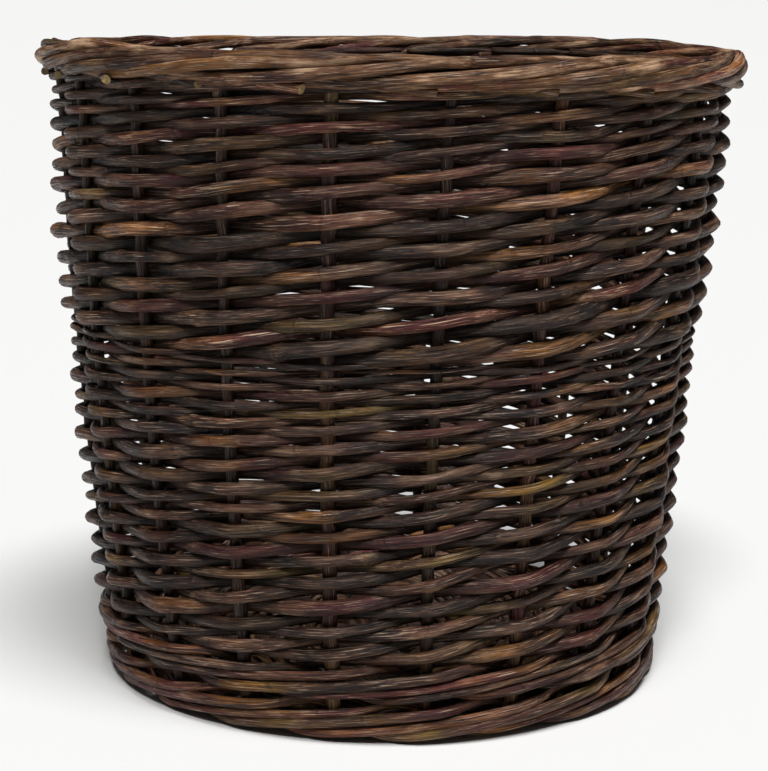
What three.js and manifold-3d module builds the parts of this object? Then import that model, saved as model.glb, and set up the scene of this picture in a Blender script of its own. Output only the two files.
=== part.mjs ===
// Round log basket of unpeeled willow, wider at the rim than at the floor.
// Millimetres, +Z up. The basket stands on z = 0 and its middle line is the Z axis.
// Every rod is its own solid: base sticks, base weavers, stakes, upsett rods and rounds of randing.
import * as THREE from "three";
import { mergeVertices } from "three/addons/utils/BufferGeometryUtils.js";
import Module from "manifold-3d";

const wasm = await Module();
wasm.setup();

// ---- Overall sizes ----
const RIM_DIAMETER = 450; // outside of the border
const BASKET_HEIGHT = 405; // floor to the top of the border
const BASE_DIAMETER = 368; // outside of the lowest upsett rod
const CLEARANCE = 0.5; // air kept between one rod and the next

// ---- Stakes and border ----
const STAKE_COUNT = 20;
const STAKE_DIAMETER = 6.5;
const BORDER_SPACES = 6; // stake spaces in which a border rod goes once round the rope
const STAKE_FOOT_LENGTH = 48; // part of a stake pushed in beside its base stick

// ---- Side weave ----
const WEAVER_THICKNESS = 6; // across the wall
const LOWER_ROUNDS = 13;
const UPPER_ROUNDS = 11;
const LOWER_ROUND_TAPER = 0.62; // height of the last round over the first
const UPPER_ROUND_TAPER = 0.64;
const LOWER_WEAVE_SHARE = 0.52; // part of the side weave that is the lower set
const CUT_GAP = 3; // between the two cut ends of one round
const ROUND_TURN = 7; // stakes from the cut ends of one round to those of the next, an odd number

// ---- Upsett ----
const UPSETT_ROUNDS = 4;
const UPSETT_THICKNESS = 7.5;
const UPSETT_ROD_HEIGHT = 11.5;
const FOOT_ROD_HEIGHT = 8; // lowest upsett rod, the one the basket stands on
const FOOT_FLAT_WIDTH = 4; // its flat underside
const UPSETT_FRONT_STROKE = 3; // stakes passed in front for each one passed behind

// ---- Base ----
const STICKS_EACH_WAY = 5;
const STICK_WIDTH = 7.6;
const PIERCED_STICK_HEIGHT = 10;
const THREADED_STICK_HEIGHT = 4.4;
const BASE_WEAVER_WIDTH = 11;
const BASE_WEAVER_THICKNESS = 4;
const BASE_WEAVE_START_RADIUS = 64;
const BASE_WEAVER_EASE = 2; // how far a weaver runs on past a stick before it bends

// ---- Sizes that follow ----
const STAKE_STEP = (2 * Math.PI) / STAKE_COUNT;
const STAKE_RADIUS = STAKE_DIAMETER / 2;
const BASE_LEVEL = FOOT_ROD_HEIGHT + CLEARANCE + STAKE_RADIUS;
// The rods that share the rope are one stake apart and keep clear of each other between bends.
const ROPE_STEP = STAKE_STEP / 2;
const ROPE_TURN = Math.PI / BORDER_SPACES;
const ROPE_SPACING = 2 * Math.cos(ROPE_TURN / 2) * Math.sin(ROPE_TURN);
const ROPE_RADIUS = (STAKE_DIAMETER + 1.2 * CLEARANCE) / ROPE_SPACING;
const BORDER_HALF = ROPE_RADIUS + STAKE_RADIUS;
const BORDER_RADIUS = RIM_DIAMETER / 2 - BORDER_HALF;
const BORDER_LEVEL = BASKET_HEIGHT - BORDER_HALF;
const TAIL_DROP = ROPE_RADIUS + STAKE_DIAMETER + CLEARANCE - 2.5;
const WEAVE_TOP = BORDER_LEVEL - TAIL_DROP - STAKE_RADIUS - 3 * CLEARANCE;
// The rods of the weave reach this far to each side of the stakes.
const WEAVE_REACH = STAKE_RADIUS + 2 * CLEARANCE + WEAVER_THICKNESS / 2;
const UPSETT_REACH = STAKE_RADIUS + 2 * CLEARANCE + UPSETT_THICKNESS / 2;
const WALL_TOP_RADIUS = BORDER_RADIUS - ROPE_RADIUS - CLEARANCE;
const WALL_FLOOR_RADIUS = BASE_DIAMETER / 2 - UPSETT_REACH - UPSETT_THICKNESS / 2;
const WALL_SLOPE = (WALL_TOP_RADIUS - WALL_FLOOR_RADIUS) / WEAVE_TOP;
// An upsett rod lifts over the foot of the stake it passes behind.
const UPSETT_START = FOOT_ROD_HEIGHT + 2 * CLEARANCE;
const UPSETT_PITCH = UPSETT_ROD_HEIGHT + CLEARANCE;
const UPSETT_LIFT = BASE_LEVEL + STAKE_RADIUS + CLEARANCE - UPSETT_START;
const WEAVE_START = UPSETT_START + (UPSETT_ROUNDS - 1) * UPSETT_PITCH + UPSETT_LIFT / 2;
const STICK_PITCH = STICK_WIDTH + 2 * CLEARANCE;
const SLATH_HALF = ((STICKS_EACH_WAY - 1) / 2) * STICK_PITCH + STICK_WIDTH / 2 + 3;
const STICK_END_RADIUS =
  wallRadius(0) - UPSETT_REACH - UPSETT_THICKNESS / 2 - 4 * CLEARANCE;
const STAKE_FOOT_RADIUS = wallRadius(BASE_LEVEL) - STAKE_FOOT_LENGTH;
// The sticks lie beside the feet of the stakes, a little round from them.
const STICK_TURN = (STICK_WIDTH / 2 + STAKE_RADIUS + CLEARANCE) / STAKE_FOOT_RADIUS;
const BASE_WEAVE_END_RADIUS = STICK_END_RADIUS - BASE_WEAVER_WIDTH / 2 - 2;

// ---- Colours ----
const STAKE_COLOUR = 0x4a3a2e;
const UPSETT_COLOUR = 0x5a4534;
const LOWER_COLOURS = [0x3a2a24, 0x4a3228, 0x332a2a];
const UPPER_COLOURS = [0x3f2d29, 0x54402f, 0x2e2526];
const STICK_COLOUR = 0x5b4a38;
const BASE_WEAVER_COLOUR = 0x44352b;
const BARK_ROUGHNESS = 0.6;

// Radius of the stakes' middle line at height z.
function wallRadius(z) {
  return WALL_FLOOR_RADIUS + WALL_SLOPE * z;
}

// Point at a radius and an angle round the basket.
function around(radius, angle, z) {
  return new THREE.Vector3(radius * Math.cos(angle), radius * Math.sin(angle), z);
}

// Path of a rod: straight runs between its bends, each bend cut on its bisector.
class RodPath extends THREE.Curve {
  constructor(bends) {
    super();
    this.bends = bends;
  }

  getUtoTmapping(u) {
    return u;
  }

  getPoint(t, target = new THREE.Vector3()) {
    const at = t * (this.bends.length - 1);
    const from = Math.min(Math.floor(at), this.bends.length - 2);
    return target.lerpVectors(this.bends[from], this.bends[from + 1], at - from);
  }

  getTangent(t, target = new THREE.Vector3()) {
    const last = this.bends.length - 1;
    const here = Math.round(t * last);
    target.set(0, 0, 0);
    for (const from of [here - 1, here]) {
      if (from < 0 || from >= last) continue;
      target.add(this.bends[from + 1].clone().sub(this.bends[from]).normalize());
    }
    return target.normalize();
  }
}

// Closed outline from its corners, in millimetres.
function outline(corners) {
  return new THREE.Shape(corners.map(([x, y]) => new THREE.Vector2(x, y)));
}

// Six-sided outline of a round rod.
function roundOutline(diameter) {
  const corners = [];
  for (let i = 0; i < 6; i += 1) {
    const turn = (i * Math.PI) / 3;
    corners.push([(diameter / 2) * Math.cos(turn), (diameter / 2) * Math.sin(turn)]);
  }
  return outline(corners);
}

// Outline of a round of randing: two rods lying one on the other. x is down, y is across the wall.
function pairOutline(height, thickness) {
  const crown = height / 2;
  const belly = height / 4;
  const side = thickness / 2;
  const waist = side * 0.6;
  return outline([
    [-crown, 0],
    [-belly, side],
    [0, waist],
    [belly, side],
    [crown, 0],
    [belly, -side],
    [0, -waist],
    [-belly, -side],
  ]);
}

// Outline of an upsett rod, pointed where the rods above and below cross it.
function upsettOutline(height, thickness) {
  const side = thickness / 2;
  return outline([
    [-height / 2, 0],
    [-height / 5, side],
    [height / 5, side],
    [height / 2, 0],
    [height / 5, -side],
    [-height / 5, -side],
  ]);
}

// Outline of the lowest rod, flat underneath.
function footOutline(height, thickness) {
  const side = thickness / 2;
  const flat = FOOT_FLAT_WIDTH / 2;
  return outline([
    [-height / 2, 0],
    [-height / 5, side],
    [height / 5, side],
    [height / 2, flat],
    [height / 2, -flat],
    [height / 5, -side],
    [-height / 5, -side],
  ]);
}

// Rectangular outline. x is up or down, y is across.
function flatOutline(height, width) {
  return outline([
    [-height / 2, -width / 2],
    [height / 2, -width / 2],
    [height / 2, width / 2],
    [-height / 2, width / 2],
  ]);
}

// Solid rod with one outline along a list of bends.
function rod(section, bends) {
  return new THREE.ExtrudeGeometry(section, {
    steps: bends.length - 1,
    extrudePath: new RodPath(bends),
    bevelEnabled: false,
  });
}

// Distance from the stakes' middle line at which a rod clears a stake it runs slanting past.
function strokeReach(reach, radius, height) {
  const leaning = reach + (height / 2) * Math.abs(WALL_SLOPE);
  const slant = Math.atan((2 * leaning) / (radius * STAKE_STEP));
  return leaning / Math.cos(slant);
}

// Bends of one round, measured from its level and from the stake where its cut ends meet.
// It passes that stake behind, and again every stroke stakes; lift is how far it rises there.
function roundBends({ level, height, reach, lift, stroke }) {
  const bends = [];
  for (let i = 0; i <= STAKE_COUNT; i += 1) {
    const behind = i % stroke === 0;
    const rise = behind ? lift : 0;
    const radius = wallRadius(level + rise);
    const away = strokeReach(reach, radius, height) * (behind ? -1 : 1);
    const cut = CUT_GAP / 2 / radius;
    const trim = i === 0 ? cut : i === STAKE_COUNT ? -cut : 0;
    bends.push(around(radius + away, i * STAKE_STEP + trim, rise));
  }
  return bends;
}

// Named, empty group.
function group(name) {
  const made = new THREE.Group();
  made.name = name;
  return made;
}

// Number of a rod, in two digits.
function twoDigits(number) {
  return String(number).padStart(2, "0");
}

// Named mesh with its own material.
function part(name, geometry, colour) {
  const material = new THREE.MeshStandardMaterial({
    color: colour,
    roughness: BARK_ROUGHNESS,
    metalness: 0,
  });
  const mesh = new THREE.Mesh(geometry, material);
  mesh.name = name;
  return mesh;
}

// Solid of a geometry, for cutting.
function solidOf(geometry) {
  const bare = geometry.clone();
  bare.deleteAttribute("normal");
  bare.deleteAttribute("uv");
  const merged = mergeVertices(bare, 1e-3);
  const numProp = 3;
  const vertProperties = merged.getAttribute("position").array;
  const triVerts = new Uint32Array(merged.index.array);
  return new wasm.Manifold(new wasm.Mesh({ numProp, vertProperties, triVerts }));
}

// Geometry of a cut solid.
function geometryOf(solid) {
  const mesh = solid.getMesh();
  const geometry = new THREE.BufferGeometry();
  geometry.setAttribute("position", new THREE.BufferAttribute(mesh.vertProperties, 3));
  geometry.setIndex(new THREE.BufferAttribute(mesh.triVerts, 1));
  geometry.computeVertexNormals();
  return geometry;
}

// Bends of a stake standing on +X: foot in the base, wall, a turn of the rope border, cut tail.
function stakeBends() {
  const wall = wallRadius(BASE_LEVEL);
  const bend = STAKE_DIAMETER;
  const neck = WEAVE_TOP;
  const bends = [
    around(STAKE_FOOT_RADIUS, 0, BASE_LEVEL),
    around(wall - bend, 0, BASE_LEVEL),
    around(wall - 0.25 * bend, 0, BASE_LEVEL + 0.3 * bend),
    around(wallRadius(BASE_LEVEL + bend), 0, BASE_LEVEL + bend),
    around(wallRadius(neck), 0, neck),
  ];
  const under = BORDER_LEVEL - ROPE_RADIUS;
  const out = BORDER_RADIUS - wallRadius(neck);
  const climb = under - neck;
  bends.push(
    around(wallRadius(neck) + 0.45 * out, 0, neck + 0.45 * climb),
    around(BORDER_RADIUS - 0.2 * out, 0.04 * STAKE_STEP, neck + 0.8 * climb),
    around(BORDER_RADIUS, 0.14 * STAKE_STEP, under),
  );
  for (let i = 1; i < BORDER_SPACES * 2; i += 1) {
    const phase = i * ROPE_TURN - Math.PI / 2;
    bends.push(
      around(
        BORDER_RADIUS + ROPE_RADIUS * Math.cos(phase),
        i * ROPE_STEP,
        BORDER_LEVEL + ROPE_RADIUS * Math.sin(phase),
      ),
    );
  }
  const end = BORDER_SPACES * STAKE_STEP;
  const drop = BORDER_LEVEL - TAIL_DROP;
  bends.push(
    around(BORDER_RADIUS - 0.35 * ROPE_RADIUS, end - 0.31 * STAKE_STEP, drop + 1),
    around(BORDER_RADIUS + 0.55 * ROPE_RADIUS, end - 0.2 * STAKE_STEP, drop),
    around(BORDER_RADIUS + 0.8 * BORDER_HALF, end - 0.155 * STAKE_STEP, drop),
  );
  return bends;
}

// Stakes, each with its own length of the border, turned to its place round the basket.
function makeStakes() {
  const stakes = group("stakes");
  const shape = rod(roundOutline(STAKE_DIAMETER), stakeBends());
  for (let i = 0; i < STAKE_COUNT; i += 1) {
    const stake = part(`stake_${twoDigits(i + 1)}`, shape, STAKE_COLOUR);
    stake.rotation.z = i * STAKE_STEP;
    stakes.add(stake);
  }
  return stakes;
}

// Upsett: each rod passes in front of three stakes and behind one, the next rod one stake on.
function makeUpsett() {
  const upsett = group("upsett");
  const stroke = UPSETT_FRONT_STROKE + 1;
  for (let i = 0; i < UPSETT_ROUNDS; i += 1) {
    const foot = i === 0;
    const height = foot ? FOOT_ROD_HEIGHT : UPSETT_ROD_HEIGHT;
    const low = foot ? 0 : UPSETT_START + (i - 1) * UPSETT_PITCH;
    const level = low + height / 2;
    const lift = foot ? 0 : UPSETT_LIFT;
    const bends = roundBends({ level, height, reach: UPSETT_REACH, lift, stroke });
    const section = (foot ? footOutline : upsettOutline)(height, UPSETT_THICKNESS);
    const round = part(`upsett_rod_${i + 1}`, rod(section, bends), UPSETT_COLOUR);
    round.position.z = level;
    round.rotation.z = (stroke + 1) * i * STAKE_STEP;
    upsett.add(round);
  }
  return upsett;
}

// One set of randing, its rounds getting lower towards the top as the rods taper.
function makeRanding({ label, low, high, rounds, taper, colours, first }) {
  const set = group(`${label}_randing`);
  const tallest = (2 * (high - low)) / rounds / (1 + taper);
  let bottom = low;
  for (let i = 0; i < rounds; i += 1) {
    const along = rounds > 1 ? i / (rounds - 1) : 0;
    const pitch = tallest * (1 - (1 - taper) * along);
    const height = pitch - CLEARANCE;
    const level = bottom + pitch / 2;
    const bends = roundBends({ level, height, reach: WEAVE_REACH, lift: 0, stroke: 2 });
    const section = pairOutline(height, WEAVER_THICKNESS);
    const name = `${label}_rand_round_${twoDigits(i + 1)}`;
    const round = part(name, rod(section, bends), colours[i % colours.length]);
    round.position.z = level;
    round.rotation.z = ROUND_TURN * (first + i) * STAKE_STEP;
    set.add(round);
    bottom += pitch;
  }
  return set;
}

// The whole side weave: a lower and an upper set of rods.
function makeSide() {
  const side = group("side");
  const join = WEAVE_START + (WEAVE_TOP - WEAVE_START) * LOWER_WEAVE_SHARE;
  side.add(
    makeRanding({
      label: "lower",
      low: WEAVE_START,
      high: join,
      rounds: LOWER_ROUNDS,
      taper: LOWER_ROUND_TAPER,
      colours: LOWER_COLOURS,
      first: 0,
    }),
    makeRanding({
      label: "upper",
      low: join,
      high: WEAVE_TOP,
      rounds: UPPER_ROUNDS,
      taper: UPPER_ROUND_TAPER,
      colours: UPPER_COLOURS,
      first: LOWER_ROUNDS,
    }),
  );
  return side;
}

// Bends of a base stick that lies along +X: straight in the middle, then fanned out at both ends.
function stickBends(place) {
  const fan = place * STAKE_STEP;
  const offset = place * STICK_PITCH;
  return [
    around(STICK_END_RADIUS, Math.PI - fan, 0),
    new THREE.Vector3(-SLATH_HALF, offset, 0),
    new THREE.Vector3(SLATH_HALF, offset, 0),
    around(STICK_END_RADIUS, fan, 0),
  ];
}

// Cross of base sticks: five are pierced, and the other five are threaded through them.
function makeSticks() {
  const sticks = group("sticks");
  const middle = (STICKS_EACH_WAY - 1) / 2;
  const slot = new THREE.BoxGeometry(
    2 * middle * STICK_PITCH + STICK_WIDTH + 2 * CLEARANCE,
    2 * SLATH_HALF,
    THREADED_STICK_HEIGHT + CLEARANCE,
  );
  const opening = solidOf(slot);
  for (let i = 0; i < STICKS_EACH_WAY; i += 1) {
    const bends = stickBends(i - middle);
    const flat = rod(flatOutline(THREADED_STICK_HEIGHT, STICK_WIDTH), bends);
    sticks.add(part(`base_stick_threaded_${i + 1}`, flat, STICK_COLOUR));
    const whole = rod(flatOutline(PIERCED_STICK_HEIGHT, STICK_WIDTH), bends);
    const slotted = geometryOf(solidOf(whole).subtract(opening));
    const pierced = part(`base_stick_pierced_${i + 1}`, slotted, STICK_COLOUR);
    pierced.rotation.z = Math.PI / 2;
    sticks.add(pierced);
  }
  return sticks;
}

// Bends of a base weaver: a spiral that goes over one stick and under the next.
function baseWeaverBends(startRadius, phase) {
  const growth = (2 * (BASE_WEAVER_WIDTH + CLEARANCE)) / (2 * Math.PI);
  const lift = PIERCED_STICK_HEIGHT / 2 + CLEARANCE + BASE_WEAVER_THICKNESS / 2;
  const near = STICK_WIDTH / 2 + BASE_WEAVER_EASE;
  const bends = [];
  for (let i = 0; ; i += 1) {
    const middle = i * STAKE_STEP;
    const radius = startRadius + growth * middle;
    if (radius > BASE_WEAVE_END_RADIUS) break;
    const besideFoot = radius > STAKE_FOOT_RADIUS - BASE_WEAVER_WIDTH;
    const far = besideFoot ? STICK_TURN * radius + STAKE_RADIUS + BASE_WEAVER_EASE : near;
    const z = (i + phase) % 2 === 0 ? lift : -lift;
    for (const across of [-near, far]) {
      const angle = middle + across / radius;
      bends.push(around(startRadius + growth * angle, angle, z));
    }
  }
  return bends;
}

// Two base weavers that wind out from the cross, one over where the other is under.
function makeBaseWeave() {
  const weave = group("base_weave");
  const section = flatOutline(BASE_WEAVER_THICKNESS, BASE_WEAVER_WIDTH);
  const first = rod(section, baseWeaverBends(BASE_WEAVE_START_RADIUS, 0));
  const inner = BASE_WEAVE_START_RADIUS + BASE_WEAVER_WIDTH + CLEARANCE;
  const second = rod(section, baseWeaverBends(inner, 1));
  weave.add(part("base_weaver_a", first, BASE_WEAVER_COLOUR));
  weave.add(part("base_weaver_b", second, BASE_WEAVER_COLOUR));
  return weave;
}

// The base, turned so that its sticks lie beside the feet of the stakes.
function makeBase() {
  const base = group("base");
  base.position.z = BASE_LEVEL;
  base.rotation.z = -STICK_TURN;
  base.add(makeSticks(), makeBaseWeave());
  return base;
}

// The woven basket, turned so that the front (-Y) falls between two stakes.
const woven = group("woven");
woven.rotation.z = STAKE_STEP / 2;
woven.add(makeBase(), makeStakes(), makeUpsett(), makeSide());
const basket = group("wicker_log_basket");
basket.add(woven);

export default basket;
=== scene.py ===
"""Round log basket of unpeeled willow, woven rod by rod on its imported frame."""

import logging
import math
from dataclasses import dataclass, field
from enum import Enum
from typing import ClassVar

import bpy
import numpy as np
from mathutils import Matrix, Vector

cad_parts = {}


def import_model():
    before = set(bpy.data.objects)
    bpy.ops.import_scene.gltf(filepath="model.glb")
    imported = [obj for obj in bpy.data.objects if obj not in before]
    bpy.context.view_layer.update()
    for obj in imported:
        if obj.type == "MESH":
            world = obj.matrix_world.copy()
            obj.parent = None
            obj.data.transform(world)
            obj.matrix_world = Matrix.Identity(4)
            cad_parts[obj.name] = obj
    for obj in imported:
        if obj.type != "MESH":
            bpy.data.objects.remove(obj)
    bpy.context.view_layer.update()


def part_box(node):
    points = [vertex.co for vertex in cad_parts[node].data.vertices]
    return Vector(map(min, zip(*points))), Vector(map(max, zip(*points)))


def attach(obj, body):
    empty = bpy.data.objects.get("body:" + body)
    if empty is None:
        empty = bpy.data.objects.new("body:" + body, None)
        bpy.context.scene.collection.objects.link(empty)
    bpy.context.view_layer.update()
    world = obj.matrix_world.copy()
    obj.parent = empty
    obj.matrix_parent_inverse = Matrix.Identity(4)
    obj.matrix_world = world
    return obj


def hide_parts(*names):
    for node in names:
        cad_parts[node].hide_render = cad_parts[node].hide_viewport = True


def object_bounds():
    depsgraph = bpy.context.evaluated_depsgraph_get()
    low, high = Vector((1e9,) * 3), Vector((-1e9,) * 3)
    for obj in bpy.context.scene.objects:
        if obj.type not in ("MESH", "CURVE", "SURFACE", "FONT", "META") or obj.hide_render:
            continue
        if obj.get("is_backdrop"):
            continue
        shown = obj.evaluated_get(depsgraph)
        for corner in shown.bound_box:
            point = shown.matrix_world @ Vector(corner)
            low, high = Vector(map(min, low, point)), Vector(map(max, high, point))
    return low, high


Array = np.ndarray
Colour = tuple[float, float, float]
Band = tuple[float, float]
Socket = bpy.types.NodeSocket

LOG = logging.getLogger("log_basket")
MM = 0.001
JOIN_ABOVE_FRAME = 11.5 * MM
WEAVE_ABOVE_FRAME = 18.5 * MM


class Stroke(Enum):
    """Stakes from one pass behind a stake to the next."""

    RANDING = 2
    WALE = 4


class Face(Enum):
    """Material slots of a rod's mesh."""

    BARK = 0
    CUT = 1


def linear(red: int, green: int, blue: int) -> Colour:
    """Linear colour of an sRGB colour.

    Args:
        red: red, 0 to 255.
        green: green, 0 to 255.
        blue: blue, 0 to 255.

    Returns:
        The linear red, green and blue, 0 to 1.
    """
    shares = (red / 255, green / 255, blue / 255)
    return tuple(c / 12.92 if c <= 0.04045 else ((c + 0.055) / 1.055) ** 2.4 for c in shares)


def smooth_through(knots: Array, values: Array, at: Array) -> Array:
    """Smooth curve through points, straight on beyond the first and the last.

    Args:
        knots: increasing places of the points.
        values: value at each place.
        at: places to read.

    Returns:
        The curve's value at each place.
    """
    slopes = np.gradient(values, knots)
    left = np.clip(np.searchsorted(knots, at, side="right") - 1, 0, len(knots) - 2)
    width = knots[left + 1] - knots[left]
    t = np.clip((at - knots[left]) / width, 0.0, 1.0)
    start, end = values[left], values[left + 1]
    rise = slopes[left] * width
    fall = slopes[left + 1] * width
    curve = (
        (2 * t**3 - 3 * t**2 + 1) * start
        + (t**3 - 2 * t**2 + t) * rise
        + (-2 * t**3 + 3 * t**2) * end
        + (t**3 - t**2) * fall
    )
    return curve + slopes[0] * np.minimum(at - knots[0], 0) + slopes[-1] * np.maximum(at - knots[-1], 0)


def wander(rng: np.random.Generator, count: int, step: int) -> Array:
    """Slow random wander around nought, about one high.

    Args:
        rng: source of chance.
        count: number of points.
        step: points from one turn of the wander to the next.

    Returns:
        One value for each point.
    """
    knots = np.arange(0, count + 2 * step, step, dtype=float)
    return smooth_through(knots, rng.normal(0, 1, len(knots)), np.arange(count, dtype=float))


@dataclass(frozen=True)
class BasketForm:
    """Shape of the whole basket, taken from the frame."""

    rim_radius: float
    height: float
    floor_radius: float
    upsett_top: float
    weave_join: float
    weave_top: float
    top_weave_radius: float
    stake_count: int = 20
    first_stake: float = math.radians(9)
    stake_radius: float = 3.3 * MM
    base_level: float = 12.0 * MM
    rim_lean: float = -1.1 * MM
    rim_twist: float = 3.0 * MM
    side_belly: float = 2.9 * MM
    belly: float = 3.0 * MM
    flare: float = 2.2 * MM
    out_of_round: float = 1.3 * MM
    tuck_under: float = 3.5 * MM
    tuck_height: float = 16 * MM
    foot_inset: float = 12 * MM
    top_inset: float = 10 * MM
    bulge_turn: float = 1.6
    three_sided: float = 0.5
    base_turn: float = math.radians(-3.4)

    @classmethod
    def from_frame(cls) -> "BasketForm":
        """Reads the sizes off the CAD pieces.

        Returns:
            The form of the basket in metres.
        """
        low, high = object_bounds()
        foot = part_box("upsett_rod_1")
        first_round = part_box("lower_rand_round_01")
        first_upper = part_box("upper_rand_round_01")
        last_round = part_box("upper_rand_round_11")
        return cls(
            rim_radius=(high.x - low.x) / 2,
            height=high.z,
            floor_radius=(foot[1].y - foot[0].y) / 2,
            upsett_top=first_round[0].z,
            weave_join=first_upper[0].z,
            weave_top=last_round[1].z,
            top_weave_radius=(last_round[1].x - last_round[0].x) / 2,
        )

    @property
    def step(self) -> float:
        """Angle from one stake to the next."""
        return 2 * math.pi / self.stake_count

    def wall_radius(self, z: Array) -> Array:
        """Radius of the stakes' middle line.

        Args:
            z: height above the floor.

        Returns:
            The radius at each height.
        """
        foot = self.floor_radius - self.foot_inset
        top = self.top_weave_radius - self.top_inset
        under = np.clip(1 - z / self.tuck_height, 0, 1) ** 2 * self.tuck_under
        share = np.clip(z / self.height, 0, 1)
        belly = self.belly * np.sin(math.pi * share) + self.flare * share
        return foot + (top - foot) * z / self.weave_top + belly - under

    def place(self, stake: Array, radius: Array, z: Array) -> Array:
        """Points round the basket, with the lean and the unevenness of hand work.

        Args:
            stake: place round the basket, counted in stakes.
            radius: distance from the middle line.
            z: height above the floor.

        Returns:
            One row of x, y and z for each point.
        """
        stake, radius, z = np.broadcast_arrays(stake, radius, z)
        angle = self.first_stake + stake * self.step
        share = np.clip(z / self.height, 0, 1)
        bulge = np.cos(2 * angle + self.bulge_turn) + self.three_sided * np.cos(3 * angle)
        around = radius + self.out_of_round * share * bulge
        x = around * np.cos(angle) - self.side_belly * np.sin(math.pi * share)
        y = around * np.sin(angle)
        drop = self.rim_lean * np.cos(angle) - self.rim_twist / 2 * np.sin(2 * angle)
        return np.stack([x, y, z - share**2 * drop], axis=-1)


@dataclass(frozen=True)
class Texture:
    """One noise of a finish: its scale along and across the rod, and how fine it goes."""

    along: float
    across: float
    detail: float
    roughness: float
    band: Band = (0.0, 1.0)


class Nodes:
    """Builds the nodes of one material."""

    def __init__(self, material: bpy.types.Material) -> None:
        """Empties the material.

        Args:
            material: material whose nodes are made.
        """
        material.use_nodes = True
        self.tree = material.node_tree
        self.tree.nodes.clear()

    def add(self, kind: str, **inputs: object) -> bpy.types.Node:
        """Adds a node and fills or links its inputs.

        Args:
            kind: node type.
            **inputs: value or socket for each input, named with underscores for spaces.

        Returns:
            The node.
        """
        node = self.tree.nodes.new(kind)
        for name, value in inputs.items():
            self.feed(node.inputs[name.replace("_", " ")], value)
        return node

    def feed(self, socket: Socket, value: object) -> None:
        """Links a socket, or sets its value.

        Args:
            socket: input to feed.
            value: output socket, number or colour.
        """
        if isinstance(value, Socket):
            self.tree.links.new(value, socket)
        elif isinstance(value, tuple) and len(socket.default_value) == 4:
            socket.default_value = (*value, 1.0)
        else:
            socket.default_value = value

    def maths(self, operation: str, *values: object, clamp: bool = False) -> Socket:
        """Adds a Math node.

        Args:
            operation: name of the operation.
            *values: its inputs in order.
            clamp: whether the result stays between 0 and 1.

        Returns:
            Its output.
        """
        node = self.tree.nodes.new("ShaderNodeMath")
        node.operation = operation
        node.use_clamp = clamp
        for socket, value in zip(node.inputs, values):
            self.feed(socket, value)
        return node.outputs[0]

    def stored(self, name: str, output: str = "Vector") -> Socket:
        """Reads what a rod's mesh has stored for each vertex.

        Args:
            name: name it is stored under.
            output: which form to read it in.

        Returns:
            The stored value.
        """
        node = self.tree.nodes.new("ShaderNodeAttribute")
        node.attribute_name = name
        return node.outputs[output]

    def parts(self, vector: Socket) -> bpy.types.Node:
        """Adds a node that splits a vector into X, Y and Z."""
        return self.add("ShaderNodeSeparateXYZ", Vector=vector)

    def noise(self, vector: Socket, texture: Texture) -> Socket:
        """Adds a noise, scaled differently along and across the rod.

        Args:
            vector: the rod's own coordinates, x along it.
            texture: the noise to make.

        Returns:
            Its value.
        """
        scaled = self.tree.nodes.new("ShaderNodeVectorMath")
        scaled.operation = "MULTIPLY"
        self.feed(scaled.inputs[0], vector)
        scaled.inputs[1].default_value = (texture.along, texture.across, texture.across)
        node = self.add(
            "ShaderNodeTexNoise",
            Vector=scaled.outputs[0],
            Scale=1.0,
            Detail=texture.detail,
            Roughness=texture.roughness,
        )
        return node.outputs[0]

    def graded(self, value: Socket, band: Band) -> Socket:
        """Smooth step from 0 at the band's start to 1 at its end.

        Args:
            value: value to grade.
            band: values that give 0 and 1.

        Returns:
            The graded value.
        """
        node = self.tree.nodes.new("ShaderNodeMapRange")
        node.interpolation_type = "SMOOTHSTEP"
        self.feed(node.inputs["Value"], value)
        node.inputs["From Min"].default_value = band[0]
        node.inputs["From Max"].default_value = band[1]
        return node.outputs[0]

    def spots(self, vector: Socket, texture: Texture) -> Socket:
        """Adds a noise and grades it over its own band."""
        return self.graded(self.noise(vector, texture), texture.band)

    def mixed(self, share: object, first: object, second: object) -> Socket:
        """Mixes two colours.

        Args:
            share: how much of the second.
            first: first colour.
            second: second colour.

        Returns:
            The mixed colour.
        """
        node = self.tree.nodes.new("ShaderNodeMix")
        node.data_type = "RGBA"
        sockets = [s for s in node.inputs if s.enabled]
        for socket, value in zip(sockets, (share, first, second)):
            self.feed(socket, value)
        return next(s for s in node.outputs if s.enabled)

    def shown(self, **inputs: object) -> None:
        """Ends the material with a surface.

        Args:
            **inputs: value or socket for each input of the surface.
        """
        surface = self.add("ShaderNodeBsdfPrincipled", **inputs)
        self.add("ShaderNodeOutputMaterial", Surface=surface.outputs[0])


@dataclass(frozen=True)
class BarkMarks:
    """What each rod stores, and where each kind of mark lies on its bark."""

    grain: Socket
    light: Socket
    ochre: Socket
    plum: Socket
    wear: Socket
    ring: Socket
    length: Socket
    patch: Socket
    streak: Socket
    fibre: Socket
    scratch_and_glint: Socket
    pore: Socket
    crack: Socket


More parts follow.
